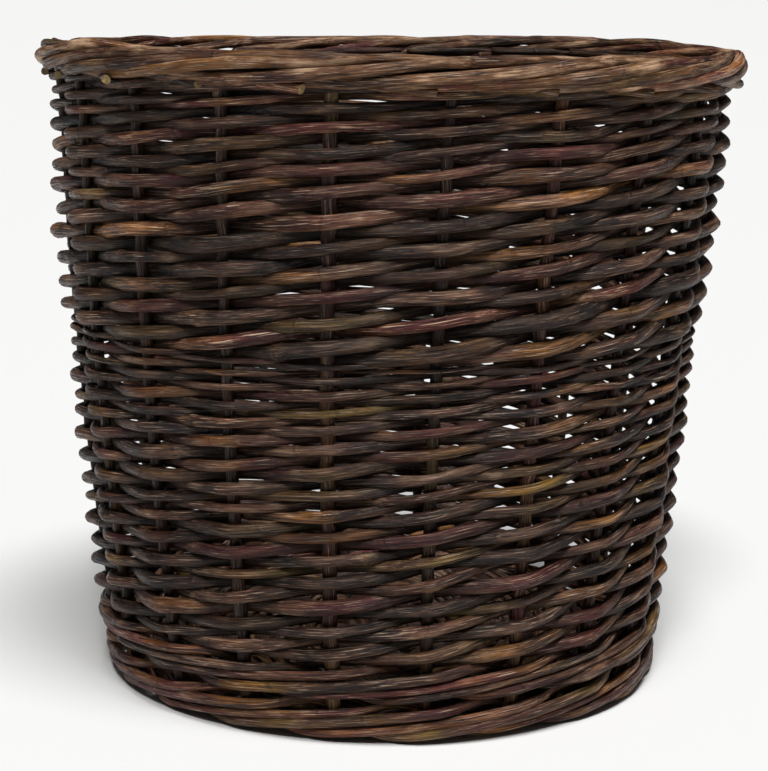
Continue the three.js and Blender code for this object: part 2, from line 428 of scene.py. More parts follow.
@dataclass(frozen=True)
class BarkFinish:
    """Bark of unpeeled willow: satin, streaked along the rod, with rings where buds were."""

    slot: str
    dark: Colour = linear(21, 7, 1)
    brown: Colour = linear(68, 38, 27)
    ochre: Colour = linear(130, 84, 30)
    olive: Colour = linear(102, 80, 28)
    plum: Colour = linear(78, 25, 31)
    slate: Colour = linear(27, 24, 32)
    rubbed: Colour = linear(112, 76, 46)
    # Pale grey of light scratches, also standing as painted highlights along the rods.
    scraped_highlight: Colour = linear(158, 134, 113)
    # Pale bare wood where the bark is worn, also standing as painted highlights on the border.
    bare_and_highlight: Colour = linear(196, 164, 132)
    roughness: float = 0.62
    polish: float = 0.36
    specular: float = 0.24

    internode: float = 0.13
    internode_uneven: float = 2.0
    ring_band: Band = (0.475, 0.498)
    ring_spacing: Texture = Texture(9.0, 9.0, 1.0, 0.5)
    lengths: Texture = Texture(13.0, 20.0, 2.0, 0.5)
    patches: Texture = Texture(28.0, 115.0, 4.0, 0.6, (0.37, 0.61))
    streaks: Texture = Texture(40.0, 1100.0, 4.0, 0.7, (0.38, 0.62))
    fibres: Texture = Texture(240.0, 2600.0, 3.0, 0.6)
    scratches_and_glints: Texture = Texture(55.0, 2300.0, 2.0, 0.5, (0.575, 0.65))
    pores: Texture = Texture(420.0, 1000.0, 1.0, 0.5, (0.66, 0.74))
    cracks: Texture = Texture(28.0, 1500.0, 2.0, 0.5, (0.62, 0.69))
    tints: Texture = Texture(10.0, 30.0, 2.0, 0.5, (0.3, 0.62))
    yellows: Texture = Texture(4.0, 4.0, 0.0, 0.5, (0.42, 0.58))
    glosses: Texture = Texture(45.0, 1300.0, 2.0, 0.5, (0.46, 0.6))

    ochre_by_length: float = 0.75
    ochre_by_streak: float = 0.35
    ochre_band: Band = (0.52, 0.72)
    rubbed_band: Band = (0.34, 0.64)
    bare_and_highlight_band: Band = (0.5, 0.68)
    bare_and_highlight_share: float = 0.8
    scratch_and_glint_share: float = 0.8
    crack_share: float = 0.85
    pore_share: float = 0.22

    streak_contrast: float = 1.1
    contrast_worn_off: float = 0.7
    streak_middle: float = 0.93
    ring_shade: float = 0.22

    relief_depth: float = 0.8 * MM
    streak_relief: float = 0.9
    fibre_relief: float = 0.35
    pore_relief: float = 0.3
    ring_relief: float = 0.6
    crack_relief: float = 0.6

    def material(self) -> bpy.types.Material:
        """Makes the bark's material.

        Returns:
            The material.
        """
        made = bpy.data.materials.new(self.slot)
        n = Nodes(made)
        marks = self.marks(n)
        scaled = n.tree.nodes.new("ShaderNodeVectorMath")
        scaled.operation = "SCALE"
        n.feed(scaled.inputs[0], self.colour(n, marks))
        n.feed(scaled.inputs["Scale"], self.shade(n, marks))
        bump = n.add(
            "ShaderNodeBump",
            Strength=1.0,
            Distance=self.relief_depth,
            Height=self.relief(n, marks),
        )
        gloss = n.maths("MULTIPLY", n.spots(marks.grain, self.glosses), self.polish)
        n.shown(
            Base_Color=scaled.outputs[0],
            Roughness=n.maths("SUBTRACT", self.roughness, gloss),
            Normal=bump.outputs[0],
            Specular_IOR_Level=self.specular,
        )
        return made

    def marks(self, n: Nodes) -> BarkMarks:
        """Reads what the rods store and lays out the marks of the bark.

        Args:
            n: nodes of the material.

        Returns:
            The marks.
        """
        grain = n.stored("grain")
        tone = n.parts(n.stored("tone")).outputs
        along = n.parts(grain).outputs["X"]
        uneven = n.maths("MULTIPLY", n.noise(grain, self.ring_spacing), self.internode_uneven)
        stage = n.maths("ADD", n.maths("DIVIDE", along, self.internode), uneven)
        from_ring = n.maths("ABSOLUTE", n.maths("SUBTRACT", n.maths("FRACT", stage), 0.5))
        return BarkMarks(
            grain=grain,
            # The tone's X is the rod's lightness with its painted shade taken off, so the bark is darker
            # where painted shade lies.
            light=tone["X"],
            ochre=tone["Y"],
            plum=tone["Z"],
            wear=n.stored("wear", "Fac"),
            ring=n.graded(from_ring, self.ring_band),
            length=n.noise(grain, self.lengths),
            patch=n.noise(grain, self.patches),
            streak=n.noise(grain, self.streaks),
            fibre=n.noise(grain, self.fibres),
            scratch_and_glint=n.spots(grain, self.scratches_and_glints),
            pore=n.spots(grain, self.pores),
            crack=n.spots(grain, self.cracks),
        )

    def colour(self, n: Nodes, marks: BarkMarks) -> Socket:
        """Mixes the colour of the bark, from its ground to its finest marks.

        Args:
            n: nodes of the material.
            marks: where the marks lie.

        Returns:
            The colour.
        """
        colour = n.mixed(n.graded(marks.patch, self.patches.band), self.dark, self.brown)
        tinted = n.spots(marks.grain, self.tints)
        plum = n.maths("MULTIPLY", marks.plum, tinted, clamp=True)
        colour = n.mixed(plum, colour, self.plum)
        slate = n.maths("MULTIPLY", n.maths("MULTIPLY", marks.plum, -1.0), tinted, clamp=True)
        colour = n.mixed(slate, colour, self.slate)
        by_length = n.maths("MULTIPLY", marks.length, self.ochre_by_length)
        by_streak = n.maths("MULTIPLY", marks.streak, self.ochre_by_streak)
        here = n.graded(n.maths("ADD", by_length, by_streak), self.ochre_band)
        ochre = n.maths("MULTIPLY", here, marks.ochre, clamp=True)
        yellowed = n.mixed(n.spots(marks.grain, self.yellows), self.ochre, self.olive)
        colour = n.mixed(ochre, colour, yellowed)
        rubbed = n.maths("MULTIPLY", marks.wear, n.graded(marks.patch, self.rubbed_band), clamp=True)
        colour = n.mixed(rubbed, colour, self.rubbed)
        # Bare patches where the bark is worn, partly real wear and partly painted highlight, mostly on
        # the border.
        bare_and_highlight = n.maths("MULTIPLY", marks.wear, n.graded(marks.patch, self.bare_and_highlight_band))
        bare_and_highlight = n.maths("MULTIPLY", bare_and_highlight, self.bare_and_highlight_share, clamp=True)
        colour = n.mixed(bare_and_highlight, colour, self.bare_and_highlight)
        # Light scratches in pale grey, partly real scratches and partly painted highlights.
        colour = n.mixed(n.maths("MULTIPLY", marks.scratch_and_glint, self.scratch_and_glint_share), colour, self.scraped_highlight)
        colour = n.mixed(n.maths("MULTIPLY", marks.crack, self.crack_share), colour, self.dark)
        return n.mixed(n.maths("MULTIPLY", marks.pore, self.pore_share), colour, self.rubbed)

    def shade(self, n: Nodes, marks: BarkMarks) -> Socket:
        """Lightens and darkens the bark along its streaks and at its bud rings.

        Args:
            n: nodes of the material.
            marks: where the marks lie.

        Returns:
            The factor for the colour.
        """
        strength = n.maths("MULTIPLY_ADD", marks.wear, -self.contrast_worn_off, self.streak_contrast)
        around_none = n.maths("SUBTRACT", n.graded(marks.streak, self.streaks.band), 0.5)
        contrast = n.maths("MULTIPLY_ADD", around_none, strength, self.streak_middle)
        ringed = n.maths("SUBTRACT", 1.0, n.maths("MULTIPLY", marks.ring, self.ring_shade))
        return n.maths("MULTIPLY", n.maths("MULTIPLY", contrast, marks.light), ringed)

    def relief(self, n: Nodes, marks: BarkMarks) -> Socket:
        """Raises streaks, fibres, pores and rings, and sinks cracks.

        Args:
            n: nodes of the material.
            marks: where the marks lie.

        Returns:
            The height of the bark.
        """
        height = n.maths("MULTIPLY", marks.streak, self.streak_relief)
        finer = (
            (marks.fibre, self.fibre_relief),
            (marks.pore, self.pore_relief),
            (marks.ring, self.ring_relief),
        )
        for mark, share in finer:
            height = n.maths("ADD", height, n.maths("MULTIPLY", mark, share))
        return n.maths("SUBTRACT", height, n.maths("MULTIPLY", marks.crack, self.crack_relief))


@dataclass(frozen=True)
class CutFinish:
    """Cut end of a rod: pale yellowish wood with a darker rim and pith, greyed by age, and more where the
    rod's lightness is low or painted shade lies.
    """

    wood: Colour = linear(150, 128, 78)
    stained: Colour = linear(88, 70, 44)
    pith: Colour = linear(60, 44, 28)
    blotches: Texture = Texture(300.0, 500.0, 3.0, 0.6, (0.35, 0.7))
    rings: Texture = Texture(40.0, 2400.0, 2.0, 0.5, (0.55, 0.8))
    stained_below: float = 1.4
    roughness: float = 0.75
    relief: float = 0.6
    relief_depth: float = 0.2 * MM

    def material(self) -> bpy.types.Material:
        """Makes the cut wood's material.

        Returns:
            The material.
        """
        made = bpy.data.materials.new("cut_wood")
        n = Nodes(made)
        grain = n.stored("grain")
        colour = n.mixed(n.spots(grain, self.blotches), self.wood, self.stained)
        ring = n.noise(grain, self.rings)
        colour = n.mixed(n.graded(ring, self.rings.band), colour, self.pith)
        # The stored lightness has the rod's painted shade taken off, so painted shade also stains the cut
        # end.
        light = n.parts(n.stored("tone")).outputs["X"]
        aged_and_shaded = n.maths("SUBTRACT", self.stained_below, light, clamp=True)
        colour = n.mixed(aged_and_shaded, colour, self.stained)
        bump = n.add("ShaderNodeBump", Strength=self.relief, Distance=self.relief_depth, Height=ring)
        n.shown(Base_Color=colour, Roughness=self.roughness, Normal=bump.outputs[0])
        return made


@dataclass(frozen=True)
class RodTone:
    """Colour of one rod within its finish."""

    LIGHT_DRAW: ClassVar[Band] = (-0.12, 0.32)
    LIGHT_LIMITS: ClassVar[Band] = (0.42, 1.8)
    STRONG_OCHRE: ClassVar[Band] = (0.45, 1.0)
    WEAK_OCHRE: ClassVar[Band] = (0.0, 0.3)
    PLUM_DRAW: ClassVar[Band] = (-0.6, 0.95)

    light: float
    ochre: float
    plum: float

    @classmethod
    def drawn(cls, rng: np.random.Generator, light: float = 1.0, ochre: float = 0.5) -> "RodTone":
        """Draws a rod's tone.

        Args:
            rng: source of chance.
            light: usual lightness.
            ochre: share of rods that show ochre lengths.

        Returns:
            The tone.
        """
        strong = rng.random() < ochre
        return cls(
            light=light * float(np.clip(rng.lognormal(*cls.LIGHT_DRAW), *cls.LIGHT_LIMITS)),
            ochre=float(rng.uniform(*(cls.STRONG_OCHRE if strong else cls.WEAK_OCHRE))),
            plum=float(rng.uniform(*cls.PLUM_DRAW)),
        )


@dataclass
class Rod:
    """One willow rod: an uneven tapering tube along its path, cut off at both ends."""

    name: str
    path: Array
    radius: Array
    tone: RodTone
    rng: np.random.Generator
    wear: Array | None = None
    # Painted shade along the rod, taken off its lightness at each ring.
    painted_shade: Array | None = None
    sides: int = 12
    slant: float = 0.35
    knot_every: float = 110 * MM
    knot_width: float = 4.2 * MM
    knot_swell: float = 0.28
    knot_wear: float = 0.7
    knot_all_round: float = 0.3
    oval: float = 0.05
    three_sided: float = 0.03
    roundness_turns: int = 14
    plain_wear: float = 0.12
    grain_spread: float = 40.0

    def frames(self) -> tuple[Array, Array, Array]:
        """Directions along and across the rod, with no twist.

        Returns:
            The tangent and two cross directions at each point.
        """
        tangent = np.gradient(self.path, axis=0)
        tangent /= np.linalg.norm(tangent, axis=1, keepdims=True)
        across = np.zeros_like(tangent)
        start = np.cross(tangent[0], (0.0, 0.0, 1.0))
        if np.linalg.norm(start) < 1e-3:
            start = np.cross(tangent[0], (1.0, 0.0, 0.0))
        across[0] = start / np.linalg.norm(start)
        for i in range(1, len(tangent)):
            kept = across[i - 1] - tangent[i] * np.dot(across[i - 1], tangent[i])
            across[i] = kept / np.linalg.norm(kept)
        return tangent, across, np.cross(tangent, across)

    def knots(self, along: Array, turn: Array) -> Array:
        """Swellings where side shoots were, each on one side of the rod.

        Args:
            along: distance along the rod of each ring of points.
            turn: angle round the rod of each point in a ring.

        Returns:
            Swelling from 0 to 1, one row for each ring.
        """
        swelling = np.zeros((len(along), len(turn)))
        for _ in range(int(along[-1] / self.knot_every) + 1):
            at = self.rng.uniform(0, along[-1])
            side = self.rng.uniform(0, 2 * math.pi)
            size = self.rng.uniform(0.3, 1.0)
            near = np.exp(-(((along - at) / self.knot_width) ** 2))[:, None]
            facing = np.clip(np.cos(turn - side), 0, 1)[None, :] ** 2
            swelling += size * near * (self.knot_all_round + (1 - self.knot_all_round) * facing)
        return np.clip(swelling, 0, 1)

    def build(self, bark: bpy.types.Material, cut: bpy.types.Material) -> bpy.types.Object:
        """Makes the rod's mesh and dresses it.

        Args:
            bark: material of its side.
            cut: material of its ends.

        Returns:
            The rod.
        """
        count, sides = len(self.path), self.sides
        tangent, across, up = self.frames()
        turn = np.arange(sides) * 2 * math.pi / sides
        phase = wander(self.rng, count, self.roundness_turns)[:, None]
        oval = 1 + self.oval * np.cos(2 * turn[None, :] + phase)
        oval = oval + self.three_sided * np.cos(3 * turn[None, :] - 2 * phase)
        steps = np.linalg.norm(np.diff(self.path, axis=0), axis=1)
        along = np.concatenate([[0.0], np.cumsum(steps)])
        knots = self.knots(along, turn)
        girth = self.radius[:, None] * (oval + self.knot_swell * knots)
        cos, sin = np.cos(turn)[None, :, None], np.sin(turn)[None, :, None]
        rings = self.path[:, None] + girth[:, :, None] * (cos * across[:, None] + sin * up[:, None])
        tilt = self.slant * self.radius[[0, -1], None] * np.cos(turn + self.rng.uniform(0, 6.28))
        rings[0] += tangent[0] * tilt[0][:, None]
        rings[-1] += tangent[-1] * tilt[1][:, None]

        offset = self.rng.uniform(0, self.grain_spread, 3)
        grain = np.empty((count, sides, 3))
        grain[:, :, 0] = along[:, None] + offset[0]
        grain[:, :, 1] = girth * np.cos(turn) + offset[1]
        grain[:, :, 2] = girth * np.sin(turn) + offset[2]

        mesh = bpy.data.meshes.new(self.name)
        faces = self.faces(count)
        mesh.from_pydata(rings.reshape(-1, 3).tolist(), [], faces)
        smooth = np.ones(len(faces), dtype=bool)
        smooth[-2:] = False
        mesh.polygons.foreach_set("use_smooth", smooth)
        slots = np.full(len(faces), Face.BARK.value, dtype=np.int32)
        slots[-2:] = Face.CUT.value
        mesh.materials.append(bark)
        mesh.materials.append(cut)
        mesh.polygons.foreach_set("material_index", slots)
        self.store(mesh, "grain", grain)
        self.store(mesh, "tone", self.tones(count))
        wear = self.wear if self.wear is not None else np.full(count, self.plain_wear)
        worn = np.clip(wear[:, None] + self.knot_wear * knots, 0, 1)
        values = mesh.attributes.new("wear", "FLOAT", "POINT")
        values.data.foreach_set("value", worn.reshape(-1).astype(np.float32))
        mesh.update()
        made = bpy.data.objects.new(self.name, mesh)
        bpy.context.scene.collection.objects.link(made)
        return made

    def faces(self, count: int) -> list[list[int]]:
        """Faces of the tube, with the two cut ends last.

        Args:
            count: rings of points along the rod.

        Returns:
            The corners of each face.
        """
        sides = self.sides
        first = np.arange(count - 1)[:, None] * sides
        here = np.arange(sides)[None, :]
        after = (here + 1) % sides
        corners = [first + here, first + after, first + sides + after, first + sides + here]
        quads = np.stack(corners, axis=-1)
        faces = quads.reshape(-1, 4).tolist()
        faces.append(list(range(sides))[::-1])
        faces.append([(count - 1) * sides + i for i in range(sides)])
        return faces

    def tones(self, count: int) -> Array:
        """Lightness, ochre and plum of each vertex, darkened where painted shade lies.

        Args:
            count: rings of points along the rod.

        Returns:
            The three values for each point of each ring.
        """
        light = np.full(count, self.tone.light)
        if self.painted_shade is not None:
            light = light * (1 - self.painted_shade)
        tones = np.empty((count, self.sides, 3))
        tones[:, :, 0] = light[:, None]
        tones[:, :, 1:] = (self.tone.ochre, self.tone.plum)
        return tones

    @staticmethod
    def store(mesh: bpy.types.Mesh, name: str, values: Array) -> None:
        """Stores a vector for each vertex.

        Args:
            mesh: mesh to store it on.
            name: attribute's name.
            values: one vector for each vertex.
        """
        layer = mesh.attributes.new(name, "FLOAT_VECTOR", "POINT")
        layer.data.foreach_set("vector", values.reshape(-1).astype(np.float32))


@dataclass
class Weaving:
    """What every sub-assembly shares: the form, the finishes and the rods it has made."""

    form: BasketForm
    bark: BarkFinish
    cut: bpy.types.Material
    seed: int
    made: list[bpy.types.Object] = field(default_factory=list, init=False)

    def __post_init__(self) -> None:
        """Starts the source of chance and makes the bark."""
        self.rng = np.random.default_rng(self.seed)
        self.dressing = self.bark.material()

    def keep(self, rod: Rod, nodes: tuple[str, ...]) -> None:
        """Builds a rod, lets it ride and hides the CAD pieces it stands for.

        Args:
            rod: rod to build.
            nodes: names of the CAD pieces.
        """
        made = rod.build(self.dressing, self.cut)
        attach(made, "root")
        if nodes:
            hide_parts(*nodes)
        self.made.append(made)


@dataclass
class RandSet(Weaving):
    """One set of French randing: a rod from every stake, all climbing side by side."""

    label: str
    low: float
    high: float
    crossings: int
    packed: float
    fullness: float
    butt: float
    tip: float
    shade: float
    cad_rounds: int
    tucked: float = 0.0
    tuck_from: float = 0.6
    samples: int = 14
    starts_before: float = 0.32
    ends_after: float = 0.3
    rods_differ: float = 0.11
    rod_limits: Band = (0.78, 1.26)
    spaces_differ: float = 0.07
    pressed: float = 0.94
    straight: float = 0.78
    lively: float = 0.13
    drift: float = 0.5 * MM
    butt_inside: float = 14 * MM
    tip_inside: float = 9 * MM
    sag: float = 0.15 * MM
    unruly: float = 0.7 * MM
    uneven_girth: float = 0.045
    # Painted shade: how dark each weaver is made where it passes behind the stakes.
    painted_shade: float = 0.6
    painted_shade_middle: float = 0.6
    painted_shade_swing: float = 0.5

    def diameters(self) -> Array:
        """Diameter of each rod at each space it crosses, made to fill the height.

        Returns:
            One row for each rod.
        """
        count = self.form.stake_count
        share = np.linspace(0, 1, self.crossings)
        taper = self.butt + (self.tip - self.butt) * share**self.fullness
        rods = self.rng.normal(1.0, self.rods_differ, (count, 1)).clip(*self.rod_limits)
        spots = self.rng.normal(1.0, self.spaces_differ, (count, self.crossings))
        sizes = taper[None, :] * rods * spots
        return sizes * (self.high - self.low) / sizes.sum(axis=1).mean()

    def heights(self, sizes: Array) -> Array:
        """Height of each rod in each space, stacked on the rods below it.

        Args:
            sizes: diameters.

        Returns:
            One row for each rod.
        """
        count = self.form.stake_count
        levels = np.zeros_like(sizes)
        for space in range(count):
            z = self.low
            stack = [((space - m) % count, m) for m in range(self.crossings)]
            total = sum(sizes[rod, m] for rod, m in stack)
            squeeze = (self.high - self.low) / total
            for rod, m in stack:
                size = sizes[rod, m] * squeeze
                levels[rod, m] = z + size / 2
                z += size
        return levels

    def build(self) -> None:
        """Weaves every rod of the set."""
        sizes = self.diameters()
        levels = self.heights(sizes)
        for number in range(1, self.form.stake_count + 1):
            self.weave(number, levels[number - 1], sizes[number - 1])

    def weave(self, number: int, levels: Array, sizes: Array) -> None:
        """Weaves one rod, from its butt inside the wall to its tip.

        Args:
            number: its number, from one.
            levels: its height in each space.
            sizes: its diameter in each space.
        """
        count = int((self.crossings + self.starts_before + self.ends_after) * self.samples)
        t = np.linspace(-self.starts_before, self.crossings + self.ends_after, count)
        spaces = np.arange(self.crossings) + 0.5
        z = smooth_through(spaces, levels, t)
        radius = smooth_through(spaces, sizes, t) / 2 * self.packed
        reach = self.form.stake_radius + radius * self.pressed
        lively = 1 + self.lively * wander(self.rng, len(t), self.samples)
        zigzag = 2 * np.abs(np.mod(t, Stroke.RANDING.value) - 1) - 1
        swing = (1 - self.straight) * np.cos(math.pi * t) + self.straight * zigzag
        away = -swing * reach * lively
        away += self.drift * wander(self.rng, len(t), 2 * self.samples)
        away += np.minimum(t, 0) * self.butt_inside
        away -= np.maximum(t - self.crossings, 0) * self.tip_inside
        wall = self.form.wall_radius(z)
        sag = self.sag * (1 - np.cos(math.pi * t)) / 2 + self.unruly * wander(self.rng, len(t), 10)
        tip_drop = self.tucked * np.clip(t - self.crossings + self.tuck_from, 0, 1)
        path = self.form.place(number - 1 + t, wall + away, z - sag - tip_drop)
        swell = 1 + self.uneven_girth * wander(self.rng, len(t), 5)
        nodes = (f"{self.label}_rand_round_{number:02d}",) if number <= self.cad_rounds else ()
        tone = RodTone.drawn(self.rng, self.shade)
        # Painted shade: the rod is darkened most where it passes behind a stake, and least where it lies
        # in front.
        behind_stakes = self.painted_shade_middle + self.painted_shade_swing * np.cos(math.pi * t)
        painted_shade = self.painted_shade * np.clip(behind_stakes, 0, 1)
        rod = Rod(f"{self.label}_weaver_{number:02d}", path, radius * swell, tone, self.rng, painted_shade=painted_shade)
        self.keep(rod, nodes)


@dataclass
class Upsett(Weaving):
    """Rope of four rods woven together, twice round the bottom of the side."""

    rounds: int = 2
    strands: int = 4
    samples: int = 10
    low: float = 0.4 * MM
    over_base: float = 6 * MM
    starts_after: float = 0.08
    ends_before: float = 0.1
    next_round: int = 7
    rods_differ: float = 0.08
    lift_width: float = 0.42
    off_floor: float = 1.03
    unruly: float = 0.5 * MM
    drift: float = 0.6 * MM
    uneven_girth: float = 0.03
    tip_inside: float = 5 * MM
    tip_width: float = 0.2
    ochre_share: float = 0.6

    def build(self) -> None:
        """Weaves every rod of the upsett."""
        band = (self.form.upsett_top - self.low) / self.rounds
        for turn in range(self.rounds):
            middle = self.low + band * (turn + 0.5)
            for strand in range(self.strands):
                self.weave(turn, strand, middle, band / self.strands)

    def weave(self, turn: int, strand: int, middle: float, size: float) -> None:
        """Weaves one rod once round.

        Args:
            turn: round it belongs to.
            strand: its place among the rods of the round.
            middle: height of the round's middle.
            size: rod diameter.
        """
        count = self.form.stake_count
        period = Stroke.WALE.value
        t = np.linspace(self.starts_after, count - self.ends_before, count * self.samples)
        phase = t % period
        apart = np.minimum(phase, period - phase)
        side = -np.cos(math.pi * np.clip(apart, 0, 1))
        girth = size * self.rng.normal(1.0, self.rods_differ)
        drop = (period - 1) / 2
        front = -drop + (phase - 0.5)
        behind = -drop * np.sin(math.pi * np.where(phase > period / 2, phase - period, phase))
        climb = np.where((phase > 0.5) & (phase < period - 0.5), front, behind)
        on_base = self.over_base * np.exp(-((apart / self.lift_width) ** 2)) if turn == 0 else 0.0
        z = middle + climb * size + on_base + self.unruly * wander(self.rng, len(t), 12)
        radius = girth / 2 * (1 + self.uneven_girth * wander(self.rng, len(t), 5))
        z = np.maximum(z, radius * self.off_floor)
        reach = self.form.stake_radius + girth / 2
        away = side * reach + self.drift * wander(self.rng, len(t), 11)
        away -= self.tip_inside * np.exp(-((t - t[-1]) ** 2) / self.tip_width)
        start = strand + turn * self.next_round
        path = self.form.place(start + t, self.form.wall_radius(z) + away, z)
        number = turn * self.strands + strand + 1
        nodes = (f"upsett_rod_{number}",) if number <= self.strands else ()
        tone = RodTone.drawn(self.rng, ochre=self.ochre_share)
        self.keep(Rod(f"upsett_strand_{number:02d}", path, radius, tone, self.rng), nodes)


@dataclass
class StakesAndBorder(Weaving):
    """The stakes, each bent down at the top and laid once round the rope border."""

    border_spaces: int = 6
    rope_radius: float = 6.95 * MM
    border_rod: float = 7.3 * MM
    foot_start: float = 128 * MM
    bend: float = 7 * MM
    neck_below: float = 4 * MM
    wall_points: int = 56
    wall_sideways: float = 0.006
    wall_waver: float = 0.3 * MM
    rope_starts: float = 0.14
    rope_ends_before: float = 0.75
    first_phase: float = math.radians(-125.0)
    loose: float = 0.07
    rods_differ: float = 0.08
    rod_limits: Band = (0.85, 1.14)
    sway: float = 0.1
    sway_out: float = 0.07
    tail_out: float = 7.0 * MM
    tail_out_draw: Band = (-4.0, 0.6)
    tail_drop: float = 11.2 * MM
    tail_short: float = 0.16
    tail_draw: float = 0.05
    # Last four points of the tail: spaces back from its end, share of its reach, lift in millimetres.
    tail_back: tuple[float, ...] = (0.42, 0.24, 0.1, 0.0)
    tail_outward: tuple[float, ...] = (-0.75, -0.1, 0.55, 1.0)
    tail_lift: tuple[float, ...] = (3.4, 2.4, 1.2, 0.7)
    # Millimetres thick at the foot, under the border, where the border begins and at the tail.
    thickness: tuple[float, ...] = (7.4, 6.6, 7.1, 5.4)
    thickness_spread: float = 0.09
    thickness_limits: Band = (0.84, 1.18)
    uneven_girth: float = 0.03
    # Worn at the foot, under the border, where the border begins, near its end and at the tail.
    wear: tuple[float, ...] = (0.05, 0.05, 0.8, 0.7, 0.2)
    wear_draw: Band = (0.3, 1.1)
    # Painted shade on the stakes where they stand in the wall between the weavers.
    wall_painted_shade: float = 0.5
    border_from: float = 1.15
    lightness: float = 1.05
    knot_every: float = 75 * MM
    slant: float = 0.25

    def rope_centre(self) -> tuple[float, float]:
        """Radius and height of the rope border's middle."""
        half = self.rope_radius + self.border_rod / 2
        return self.form.rim_radius - half, self.form.height - half

    def wall_part(self) -> tuple[list[float], list[float], list[float]]:
        """Foot, bend and wall of a stake.

        Returns:
            Stake place, radius and height of each point.
        """
        form = self.form
        level = form.base_level
        foot_end = float(form.wall_radius(np.array(level))) - self.bend
        stake, radius, z = [], [], []
        for r in np.linspace(self.foot_start, foot_end, 6):
            stake.append(0.0)
            radius.append(float(r))
            z.append(level)
        for share in (0.3, 0.6, 0.85, 1.0):
            turn = share * math.pi / 2
            stake.append(0.0)
            radius.append(foot_end + self.bend * math.sin(turn))
            z.append(level + self.bend * (1 - math.cos(turn)))
        neck = form.weave_top - self.neck_below
        for height in np.linspace(level + 2 * self.bend, neck, self.wall_points):
            stake.append(float(self.rng.normal(0, self.wall_sideways)))
            radius.append(float(form.wall_radius(height)) + self.rng.normal(0, self.wall_waver))
            z.append(float(height))
        return stake, radius, z

    def build(self) -> None:
        """Makes every stake."""
        for i in range(self.form.stake_count):
            self.make_stake(i)

    def make_stake(self, index: int) -> None:
        """Makes one stake: foot, wall, its length of the rope and its cut tail.

        Args:
            index: its number, from nought.
        """
        rope_r, rope_z = self.rope_centre()
        stake, radius, z = self.wall_part()
        neck_r, neck_z = radius[-1], z[-1]
        spaces = self.border_spaces
        loose = self.rng.normal(0, self.loose)
        away = self.rope_radius * float(np.clip(self.rng.normal(1, self.rods_differ), *self.rod_limits))
        begin = self.first_phase
        start_r = rope_r + away * math.cos(begin)
        start_z = rope_z + away * math.sin(begin)
        for share, on in ((0.4, 0.0), (0.8, 0.02)):
            stake.append(on)
            radius.append(neck_r + (start_r - neck_r) * share)
            z.append(neck_z + (start_z - neck_z) * share)
        steps = np.linspace(self.rope_starts, spaces - self.rope_ends_before, spaces * 9)
        waver = wander(self.rng, len(steps), 7)
        for tau, sway in zip(steps, waver):
            phase = begin + 2 * math.pi * (tau / spaces) + loose + self.sway * sway
            stake.append(float(tau))
            radius.append(rope_r + away * (1 + self.sway_out * sway) * math.cos(phase))
            z.append(rope_z + away * (1 + self.sway_out * sway) * math.sin(phase))
        out = self.tail_out + self.rng.uniform(*self.tail_out_draw) * MM
        low = rope_z - self.tail_drop
        end = spaces - self.tail_short + self.rng.uniform(-self.tail_draw, self.tail_draw)
        for back, share, lift in zip(self.tail_back, self.tail_outward, self.tail_lift):
            stake.append(end - back)
            radius.append(rope_r + out * share)
            z.append(low + lift * MM)
        knots = self.form.place(index + np.array(stake), np.array(radius), np.array(z))
        path, along = self.resampled(knots)
        self.dress(index + 1, path, along)

    def dress(self, number: int, path: Array, along: Array) -> None:
        """Gives a stake its thickness, wear and painted shade, and keeps it.

        Args:
            number: its number, from one.
            path: its middle line.
            along: distance along the path to each point.
        """
        share = along / along[-1]
        wall_end = self.form.height / along[-1] * self.border_from
        thick = np.interp(share, [0, wall_end * 0.9, wall_end, 1.0], self.thickness) * MM
        thick *= float(np.clip(self.rng.normal(1.0, self.thickness_spread), *self.thickness_limits))
        thick *= 1 + self.uneven_girth * wander(self.rng, len(path), 9)
        wear = np.interp(share, [0, wall_end * 0.95, wall_end, 0.9, 1.0], self.wear)
        wear *= self.rng.uniform(*self.wear_draw)
        # Painted shade: the stake is darkened along the wall, where it stands between the weavers, and
        # not at the border.
        painted_shade = np.interp(share, [0, wall_end * 0.9, wall_end], [self.wall_painted_shade, self.wall_painted_shade, 0.0])
        rod = Rod(
            f"stake_rod_{number:02d}",
            path,
            thick / 2,
            RodTone.drawn(self.rng, self.lightness),
            self.rng,
            wear=wear,
            painted_shade=painted_shade,
            slant=self.slant,
            knot_every=self.knot_every,
        )
        self.keep(rod, (f"stake_{number:02d}",))

    @staticmethod
    def resampled(knots: Array, spacing: float = 4.5 * MM) -> tuple[Array, Array]:
        """Smooth path through points, with even steps.

        Args:
            knots: points.
            spacing: distance between the new points.

        Returns:
            The new points and the distance along the path to each.
        """
        lengths = np.concatenate([[0], np.cumsum(np.linalg.norm(np.diff(knots, axis=0), axis=1))])
        count = int(lengths[-1] / spacing)
        at = np.linspace(0, lengths[-1], count)
        path = np.stack([smooth_through(lengths, knots[:, k], at) for k in range(3)], axis=1)
        along = np.concatenate([[0], np.cumsum(np.linalg.norm(np.diff(path, axis=0), axis=1))])
        return path, along


